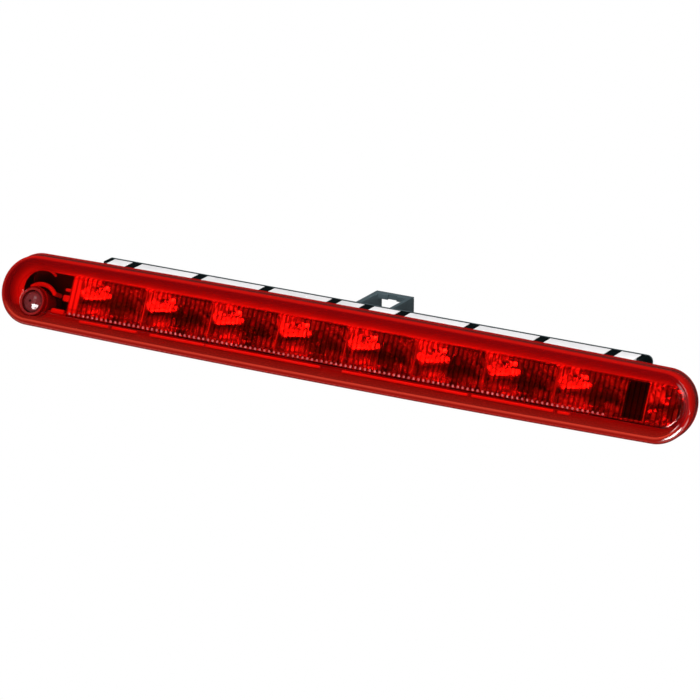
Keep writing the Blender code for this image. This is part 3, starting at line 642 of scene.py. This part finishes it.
def port_cutter():
    """A round tool along the jet's axis."""
    low, high = -JET_HOLE_REACH, JET_HOLE_REACH
    bm = turned_bmesh([(0.0, low), (JET_HOLE_RADIUS, low), (JET_HOLE_RADIUS, high), (0.0, high)])
    laid_on_face(bm, JET_CENTRE)
    return linked_object("port_tool", bm)


def apply_modifiers(piece):
    """Bakes a piece's modifiers into its mesh."""
    graph = bpy.context.evaluated_depsgraph_get()
    mesh = bpy.data.meshes.new_from_object(piece.evaluated_get(graph))
    piece.modifiers.clear()
    piece.data = mesh


# ---------------------------------------------------------------------------------------------------
# Optic and cells


def make_optic(settings):
    """Clear strip whose front is upright flutes over one row of beads."""
    low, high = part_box("inner_optic")
    left, right = low[0], high[0]
    half = (high[2] - low[2]) / 2 / cos(RAKE)
    columns = round((right - left) / settings.pitch)
    samples, levels = 6, 42
    bm = bmesh.new()
    painted_groove_shade = bm.verts.layers.float.new("painted_groove_shade")
    bmesh.ops.create_grid(bm, x_segments=columns * samples, y_segments=levels, size=1.0)
    for vert in bm.verts:
        across = (vert.co.x + 1) / 2
        rise = (vert.co.y + 1) / 2
        x = left + (right - left) * across
        beyond = max(0.0, x - (right - half)) / half
        up = half * (2 * rise - 1) * sqrt(max(1 - beyond * beyond, 0.0004))
        flute = abs(sin(pi * across * columns))
        row = sin(pi * rise / settings.bead_row) if rise < settings.bead_row else 1.0
        # Painted shade: weight that darkens the flute valleys and the bead row's edges.
        vert[painted_groove_shade] = max((1 - flute) ** 2, 0.7 * (1 - row) ** 4)
        sunk = settings.swell * (1 - flute ** 0.8 * (0.55 + 0.45 * row ** 0.8))
        vert.co = drawn_point(x, up, OPTIC_FRONT + sunk)
    moved = bmesh.ops.extrude_face_region(bm, geom=bm.faces[:])["geom"]
    for vert in [item for item in moved if isinstance(item, bmesh.types.BMVert)]:
        vert.co.y = FACE_Y + vert.co.z * sin(RAKE) / cos(RAKE) + OPTIC_BACK / cos(RAKE)
    bmesh.ops.recalc_face_normals(bm, faces=bm.faces)
    finished("pillow_optic", bm, clear_optic_material(), "inner_optic", smooth_angle=60.0)


def cell_skin(centre, half_width, settings):
    """A metallised bowl from the diode's round hole to a square mouth just behind the optic."""
    bm = bmesh.new()
    painted_lobe = bm.verts.layers.float.new("painted_lobe")
    around, rings = 96, 20
    side_sag, top_sag = SIDE_SHARE * settings.cell_depth, TOP_SHARE * settings.cell_depth
    loops = []
    for ring in range(rings + 2):
        share = min(ring / rings, 1.0)
        points = []
        for step in range(around):
            turn = 2 * pi * (step + 0.5) / around
            reach = 1 / max(abs(cos(turn)) / half_width, abs(sin(turn)) / CELL_HALF_HEIGHT)
            radius = CELL_BORE + (reach - CELL_BORE) * share
            x, z = radius * cos(turn), radius * sin(turn)
            mouth_y = FACE_Y + (z * sin(RAKE) + MOUTH_DEPTH) / cos(RAKE)
            bowl_y = CELL_FLOOR_Y - side_sag * (x / half_width) ** 2 - top_sag * (z / CELL_HALF_HEIGHT) ** 2
            y = max(bowl_y, mouth_y)
            if ring > rings:
                y = min(y - MOUTH_STEP, mouth_y)
            points.append((centre + x, y, z))
        loops.append(loop_edges(bm, points))
    bridged(bm, loops)
    bmesh.ops.recalc_face_normals(bm, faces=bm.faces)
    if sum(face.normal.y * face.calc_area() for face in bm.faces) > 0:
        bmesh.ops.reverse_faces(bm, faces=bm.faces)
    for vert in bm.verts:
        # Painted light: weight of the satin white that stands for the bowl's reflections.
        vert[painted_lobe] = painted_lobe_share((vert.co.x - centre) / half_width, vert.co.z / CELL_HALF_HEIGHT)
    bmesh.ops.solidify(bm, geom=bm.faces[:], thickness=BOWL_WALL)
    return bm


def painted_lobe_share(across, up):
    """How much painted light a bowl has at a place in its mouth, both measured from -1 to 1."""
    total = 0.0
    for (left, right, low, high), strength in PAINTED_LOBE_FIELDS:
        edge = min(across - left, right - across, up - low, high - up) / PAINTED_LOBE_EDGE
        total = max(total, strength * min(max(edge + 0.5, 0.0), 1.0))
    return total


def bar(name, x_pair, up_pair, depth_pair, round_off, material):
    """A straight bar lying along the face, its long edges rounded."""
    bm = bmesh.new()
    bmesh.ops.create_cube(bm, size=1.0)
    for vert in bm.verts:
        x = x_pair[vert.co.x > 0]
        up = up_pair[vert.co.z > 0]
        vert.co = face_point(x, up, depth_pair[vert.co.y > 0])
    rounded(bm, bm.edges[:], round_off, segments=3)
    bmesh.ops.recalc_face_normals(bm, faces=bm.faces)
    finished(name, bm, material, None)


def make_ribs():
    """Ribs standing on the flange just below the optic, whiter than the tray: painted light for the lit strip
    there.
    """
    # Painted light: the ribs are whiter than the tray they belong to.
    white = moulded_plastic("rib_plastic_painted_light", (0.97, 0.96, 0.96), 0.35)
    for index, (left, right) in enumerate(RIB_SPANS):
        bar(f"lower_rib_{index + 1}", (left * MM, right * MM), RIB_UP, RIB_DEPTH, RIB_ROUND, white)


def make_pins(name, x, settings, material):
    """Four bright upright pins high on a cell's left wall."""
    bm = bmesh.new()
    for offset, low, high in FLASH_PINS:
        share = offset * MM / CELL_HALF
        y = CELL_FLOOR_Y - SIDE_SHARE * settings.cell_depth * share ** 2 - PIN_INSET
        made = bmesh.ops.create_cone(
            bm, cap_ends=True, segments=16, radius1=PIN_RADIUS, radius2=PIN_RADIUS, depth=(high - low) * MM
        )["verts"]
        bmesh.ops.translate(bm, vec=(x + offset * MM, y, (low + high) / 2 * MM), verts=made)
    rounded(bm, sharp_edges(bm, 60.0), 0.2 * MM)
    finished(name, bm, material, None)


def make_pocket(settings):
    """What is seen in the jet's pocket: a ridge round the jet, a white arc that is a painted highlight, lugs
    on the wall and the rear gasket.
    """
    white = moulded_plastic("lug_plastic", tuple(settings.white), 0.3)
    for index, lug in enumerate(POCKET_LUGS):
        pairs = [tuple(value * MM for value in pair) for pair in lug]
        bar(f"pocket_lug_{index + 1}", *pairs, LUG_ROUND, white)

    # Painted highlight: a white arc round the jet that stands for a bright arc of light on the lens.
    bm = bmesh.new()
    ring = bmesh.ops.create_circle(bm, segments=12, radius=RIDGE_HALF_WIDTH)["verts"]
    bmesh.ops.rotate(bm, matrix=Matrix.Rotation(pi / 2, 3, "X"), verts=ring)
    bmesh.ops.translate(bm, vec=(RIDGE_RADIUS, 0, 0), verts=ring)
    bmesh.ops.rotate(bm, matrix=Matrix.Rotation(-RIDGE_START, 3, "Y"), cent=(0, 0, 0), verts=ring)
    edges = list({edge for vert in ring for edge in vert.link_edges})
    bmesh.ops.contextual_create(bm, geom=edges)
    moved = bmesh.ops.spin(
        bm, geom=ring + edges, cent=(0, 0, 0), axis=(0, -1, 0), angle=RIDGE_TURN, steps=40, use_merge=False
    )["geom_last"]
    bmesh.ops.contextual_create(bm, geom=[item for item in moved if isinstance(item, bmesh.types.BMEdge)])
    bmesh.ops.recalc_face_normals(bm, faces=bm.faces)
    laid_on_face(bm, face_point(*RIDGE_CENTRE))
    finished("jet_ridge_painted_highlight", bm, white, None)

    bm = turned_bmesh([(radius * MM, along * MM) for radius, along in GASKET_PROFILE])
    laid_on_face(bm, JET_CENTRE)
    finished("jet_gasket", bm, moulded_plastic("gasket_rubber", RUBBER, 0.8), None)


def make_cells(settings):
    """One bright bowl round each diode, with pins in the full cells."""
    material = metallised_material()
    for index, x in enumerate(LED_XS[:-1]):
        bm = cell_skin(x, CELL_HALF, settings)
        finished(f"cell_reflector_{index + 1}", bm, material, None, smooth_angle=60.0)
        make_pins(f"cell_pins_{index + 1}", x, settings, material)
    bm = cell_skin(LED_XS[-1], END_CELL_HALF, settings)
    finished("end_reflector", bm, material, None, smooth_angle=60.0)


# ---------------------------------------------------------------------------------------------------
# Mouldings


def tray_material(settings):
    """White moulding outside, with painted shade near black in the jet's pocket and darker low on the flange;
    bright inside the window.
    """
    tree = Tree("tray_plastic")
    x, y, z = tree.add("SeparateXYZ", inputs={"Vector": tree.place}).outputs
    cloud = tree.noise(55.0, 3.0)
    white = tree.blend(cloud, tuple(0.93 * part for part in settings.white), tuple(settings.white))
    lean = tree.math("MULTIPLY", z, sin(RAKE) / cos(RAKE))
    depth = tree.math("SUBTRACT", tree.math("SUBTRACT", y, FACE_Y), lean)
    ahead = tree.math("LESS_THAN", y, TRAY_WALL_Y)
    low = tree.math("LESS_THAN", tree.math("ABSOLUTE", z), TRAY_INSIDE_HALF)

    inside = tree.math("MULTIPLY", tree.math("GREATER_THAN", depth, TRAY_INSIDE), ahead)
    pocket = tree.math("LESS_THAN", x, POCKET_END_X)
    # Painted shade: the tray's white is darkened to near black inside the jet's pocket.
    dark = tree.math("MULTIPLY", tree.math("MULTIPLY", inside, low), pocket)
    # Painted shade: the lower part of the flange, in front of its land, is darkened.
    painted_foot_shade = tree.math("MULTIPLY", tree.math("LESS_THAN", depth, TRAY_LAND), tree.ramp(z, *TRAY_SHADE_HEIGHTS))
    white = tree.blend(painted_foot_shade, white, (0.30, 0.29, 0.29))
    shade = tree.blend(dark, white, (0.006, 0.007, 0.008))
    normal = tree.bump(tree.noise(8000.0, 2.0), 0.3, 0.015 * MM)
    rough = tree.ramp(tree.noise(300.0), 0.3, 0.7, 0.35, 0.5)
    plastic = tree.shader(Base_Color=shade, Roughness=rough, Normal=normal)

    window = tree.math("MULTIPLY", tree.math("GREATER_THAN", x, WINDOW_START_X), low)
    forward = tree.math("MULTIPLY", tree.math("GREATER_THAN", depth, TRAY_LAND), ahead)
    bright = tree.math("MULTIPLY", window, forward)
    metal = tree.shader(Base_Color=(0.75, 0.74, 0.74), Metallic=1.0, Roughness=0.22)
    return tree.done(tree.mixed(bright, plastic, metal))


def make_mouldings(settings):
    """Tray, housing, caps and sockets as softened copies of their nodes."""
    slate = moulded_plastic("slate_plastic", tuple(settings.slate), 0.42, finger_y=FINGER_Y)
    black = moulded_plastic("black_plastic", tuple(settings.black), 0.35)
    edge = settings.edge
    for name, node, width, material, slot in (
        ("tray_moulding", "reflector_tray", edge * 0.5, tray_material(settings), "white_plastic"),
        ("housing_moulding", "housing", edge, slate, "slate_plastic"),
        ("end_cap_moulding", "end_cap", edge, slate, "slate_plastic"),
        ("socket_moulding", "connector_socket", edge, black, "black_plastic"),
    ):
        finished(name, softened_bmesh(node, width), material, node)
    make_ribs()
    make_pocket(settings)
    finished("shade_plate", softened_bmesh("end_shade", edge), black, "end_shade")


# ---------------------------------------------------------------------------------------------------
# Stage


def area_light(name, place, target, width, height, energy):
    """A soft box that looks at a point."""
    light = bpy.data.lights.new(name, "AREA")
    light.shape = "RECTANGLE"
    light.size = width
    light.size_y = height
    light.energy = energy
    item = bpy.data.objects.new(name, light)
    item.location = place
    item.rotation_euler = (Vector(target) - Vector(place)).to_track_quat("-Z", "Y").to_euler()
    item.visible_glossy = False
    item.visible_transmission = False
    bpy.context.scene.collection.objects.link(item)


def floor_material():
    """Pale matt floor, faintly mottled, washed out by its own light and open from below."""
    tree = Tree("pale_floor")
    shade = tree.blend(tree.noise(3.0, 3.0), (0.88, 0.88, 0.885), (0.92, 0.92, 0.925))
    matt = tree.shader(Base_Color=shade, Roughness=0.9, Specular_IOR_Level=0.0)
    wash = tree.add("Emission", inputs={"Color": (1.0, 1.0, 1.0), "Strength": 1.0}).outputs[0]
    seen = tree.add("LightPath").outputs["Is Camera Ray"]
    below = tree.add("NewGeometry").outputs["Backfacing"]
    clear = tree.add("BsdfTransparent").outputs[0]
    return tree.done(tree.mixed(below, tree.mixed(seen, matt, wash), clear))


CAMERA_SHIFT = (0.0200, -0.0045)
# Soft boxes that only polished surfaces show: direction, half angle inside and outside, brightness
GLINTS = (
    ((0.38, -0.62, -0.68), 20.0, 38.0, 1.7),
    ((0.30, -0.88, -0.36), 12.0, 24.0, 42.0),
    ((0.30, -0.75, 0.60), 8.0, 24.0, 0.4),
    ((-0.70, -0.25, -0.67), 6.0, 20.0, 0.8),
    ((0.85, -0.40, -0.31), 8.0, 22.0, 6.0),
    ((0.10, -0.55, 0.83), 5.0, 14.0, 4.0),
    ((-0.46, -0.29, -0.83), 6.0, 14.0, 0.25),
    ((0.88, -0.42, 0.26), 2.0, 5.0, 25.0),
)


def make_world(settings):
    """White to the eye, even to matt surfaces, and a dark room with soft boxes to polished ones."""
    world = bpy.data.worlds.new("studio")
    world.use_nodes = True
    bpy.context.scene.world = world
    nodes, links = world.node_tree.nodes, world.node_tree.links
    background = nodes["Background"]
    background.inputs["Color"].default_value = (1, 1, 1, 1)
    world.cycles.sampling_method = "NONE"

    def math(operation, first, second):
        node = nodes.new("ShaderNodeMath")
        node.operation = operation
        for socket, value in zip(node.inputs, (first, second)):
            if isinstance(value, bpy.types.NodeSocket):
                links.new(value, socket)
            else:
                socket.default_value = value
        return node.outputs[0]

    direction = nodes.new("ShaderNodeTexCoord").outputs["Generated"]
    room = settings.dark
    for way, inner, outer, brightness in GLINTS:
        dot = nodes.new("ShaderNodeVectorMath")
        dot.operation = "DOT_PRODUCT"
        links.new(direction, dot.inputs[0])
        dot.inputs[1].default_value = Vector(way).normalized()
        spot = nodes.new("ShaderNodeMapRange")
        spot.interpolation_type = "SMOOTHSTEP"
        links.new(dot.outputs["Value"], spot.inputs["Value"])
        spot.inputs["From Min"].default_value = cos(radians(outer))
        spot.inputs["From Max"].default_value = cos(radians(inner))
        spot.inputs["To Max"].default_value = brightness
        room = math("ADD", spot.outputs["Result"], room)
    path = nodes.new("ShaderNodeLightPath")
    seen, matt = path.outputs["Is Camera Ray"], path.outputs["Is Diffuse Ray"]
    polished = math("SUBTRACT", math("SUBTRACT", 1.0, seen), matt)
    strength = math("MULTIPLY", room, polished)
    strength = math("ADD", strength, math("MULTIPLY", matt, settings.ambient))
    strength = math("ADD", strength, seen)
    links.new(strength, background.inputs["Strength"])


def make_stage(settings):
    """Floor, world, soft boxes and camera."""
    bm = bmesh.new()
    bmesh.ops.create_grid(bm, x_segments=8, y_segments=8, size=12.0)
    bmesh.ops.translate(bm, vec=(0, 0, CAD_BOX[0][2] - settings.drop), verts=bm.verts)
    floor = linked_object("studio_floor", bm)
    floor.data.materials.append(floor_material())
    floor.visible_glossy = False
    floor.visible_transmission = False
    make_world(settings)

    centre = Vector((0, FACE_Y, 0))
    area_light("overhead_box", (0.1, 0.1, 1.3), centre, 1.6, 0.8, 20.0)
    area_light("front_box", (0.3, -1.6, 0.7), centre, 1.2, 0.7, 26.0)

    a, e, roll = settings.azimuth, settings.elevation, settings.roll
    back = Vector((sin(a) * cos(e), -cos(a) * cos(e), sin(e)))
    right = Vector((cos(a), sin(a), 0))
    up = back.cross(right)
    axes = (right * cos(roll) - up * sin(roll), right * sin(roll) + up * cos(roll), back)
    camera = bpy.data.cameras.new("camera")
    camera.lens = settings.focal
    camera.sensor_width = 36.0
    camera.clip_start = 0.1
    camera.clip_end = 60.0
    camera.shift_x, camera.shift_y = CAMERA_SHIFT
    item = bpy.data.objects.new("camera", camera)
    turned = Matrix(axes).transposed().to_4x4()
    item.matrix_world = Matrix.Translation(centre + back * settings.distance) @ turned
    bpy.context.scene.collection.objects.link(item)
    bpy.context.scene.camera = item
    bpy.context.scene.view_settings.view_transform = "Standard"


# ---------------------------------------------------------------------------------------------------
# Finishes of carried-over nodes


def dress(nodes, material):
    """Gives carried-over nodes their material."""
    for node in nodes:
        frame["nodes"][node].data.materials.clear()
        frame["nodes"][node].data.materials.append(material)


def make_small_parts(settings):
    """Finishes for the nodes that keep their shape."""
    black = moulded_plastic("jet_black", tuple(settings.black), 0.25)
    rubber = moulded_plastic("seal_rubber", RUBBER, 0.8)
    steel = metal_material("zinc_steel", (0.60, 0.60, 0.62), 0.32)
    tin = metal_material("tinned_blades", (0.72, 0.70, 0.66), 0.28)
    board = moulded_plastic("board_green", (0.02, 0.12, 0.05), 0.35)
    led = moulded_plastic("led_red", (0.20, 0.008, 0.008), 0.15)
    resistor = moulded_plastic("resistor_blue", (0.20, 0.42, 0.52), 0.35)
    jet = moulded_plastic("jet_smoked", (0.13, 0.018, 0.020), 0.12)
    smoked = moulded_plastic("jet_collar", (0.22, 0.010, 0.010), 0.18)
    dress(["lens_seal", "socket_seal"], rubber)
    dress(["jet_seal", "jet_holder"], smoked)
    dress([f"housing_screw_{i}" for i in range(1, 5)] + ["board_screw_1", "board_screw_2"], steel)
    dress(["terminal_1", "terminal_2"], tin)
    dress(["circuit_board", "end_board"], board)
    dress([f"led_{i}" for i in range(1, 10)], led)
    dress([f"resistor_{i}" for i in range(1, 5)], resistor)
    dress(["diode_1"], black)
    dress(["jet_pipe"], moulded_plastic("pipe_plastic", tuple(settings.white), 0.3))
    dress(["jet_ball"], jet)


# ---------------------------------------------------------------------------------------------------
# Operators


class LAMP_OT_stage(bpy.types.Operator):
    """Build the floor, the soft boxes and the camera"""

    bl_idname = "lamp.stage"
    bl_label = "Stage"

    def execute(self, context):
        make_stage(context.scene.lamp_stage)
        return {"FINISHED"}


class LAMP_OT_lens(bpy.types.Operator):
    """Build the rolled red lens"""

    bl_idname = "lamp.lens"
    bl_label = "Lens"

    def execute(self, context):
        make_lens(context.scene.lamp_lens)
        make_window_beads(context.scene.lamp_lens)
        return {"FINISHED"}


class LAMP_OT_optics(bpy.types.Operator):
    """Build the fluted optic and the metallised cells"""

    bl_idname = "lamp.optics"
    bl_label = "Optics"

    def execute(self, context):
        make_optic(context.scene.lamp_optic)
        make_cells(context.scene.lamp_optic)
        return {"FINISHED"}


class LAMP_OT_mouldings(bpy.types.Operator):
    """Build the tray, the housing and the black mouldings"""

    bl_idname = "lamp.mouldings"
    bl_label = "Mouldings"

    def execute(self, context):
        make_mouldings(context.scene.lamp_moulding)
        return {"FINISHED"}


class LAMP_OT_small_parts(bpy.types.Operator):
    """Finish the parts that keep their shape"""

    bl_idname = "lamp.small_parts"
    bl_label = "Small Parts"

    def execute(self, context):
        make_small_parts(context.scene.lamp_moulding)
        return {"FINISHED"}


class LAMP_PT_panel(bpy.types.Panel):
    """Lists the steps that build the lamp"""

    bl_idname = "LAMP_PT_panel"
    bl_label = "Third Brake Light"
    bl_space_type = "VIEW_3D"
    bl_region_type = "UI"
    bl_category = "Brake Light"

    def draw(self, context):
        for operator in OPERATORS:
            self.layout.operator(operator.bl_idname)


SETTINGS = (
    ("lamp_lens", LensSettings),
    ("lamp_optic", OpticSettings),
    ("lamp_moulding", MouldingSettings),
    ("lamp_stage", StageSettings),
)
OPERATORS = (LAMP_OT_stage, LAMP_OT_lens, LAMP_OT_optics, LAMP_OT_mouldings, LAMP_OT_small_parts)


def register():
    """Registers the settings, the operators and the panel."""
    for name, group in SETTINGS:
        bpy.utils.register_class(group)
        setattr(bpy.types.Scene, name, bpy.props.PointerProperty(type=group))
    for operator in OPERATORS:
        bpy.utils.register_class(operator)
    bpy.utils.register_class(LAMP_PT_panel)


def unregister():
    """Takes them away again, last first."""
    bpy.utils.unregister_class(LAMP_PT_panel)
    for operator in reversed(OPERATORS):
        bpy.utils.unregister_class(operator)
    for name, group in reversed(SETTINGS):
        delattr(bpy.types.Scene, name)
        bpy.utils.unregister_class(group)


def main():
    """Runs each operator in order."""
    register()
    bpy.ops.lamp.stage()
    bpy.ops.lamp.lens()
    bpy.ops.lamp.optics()
    bpy.ops.lamp.mouldings()
    bpy.ops.lamp.small_parts()


if __name__ == "__main__":
    main()
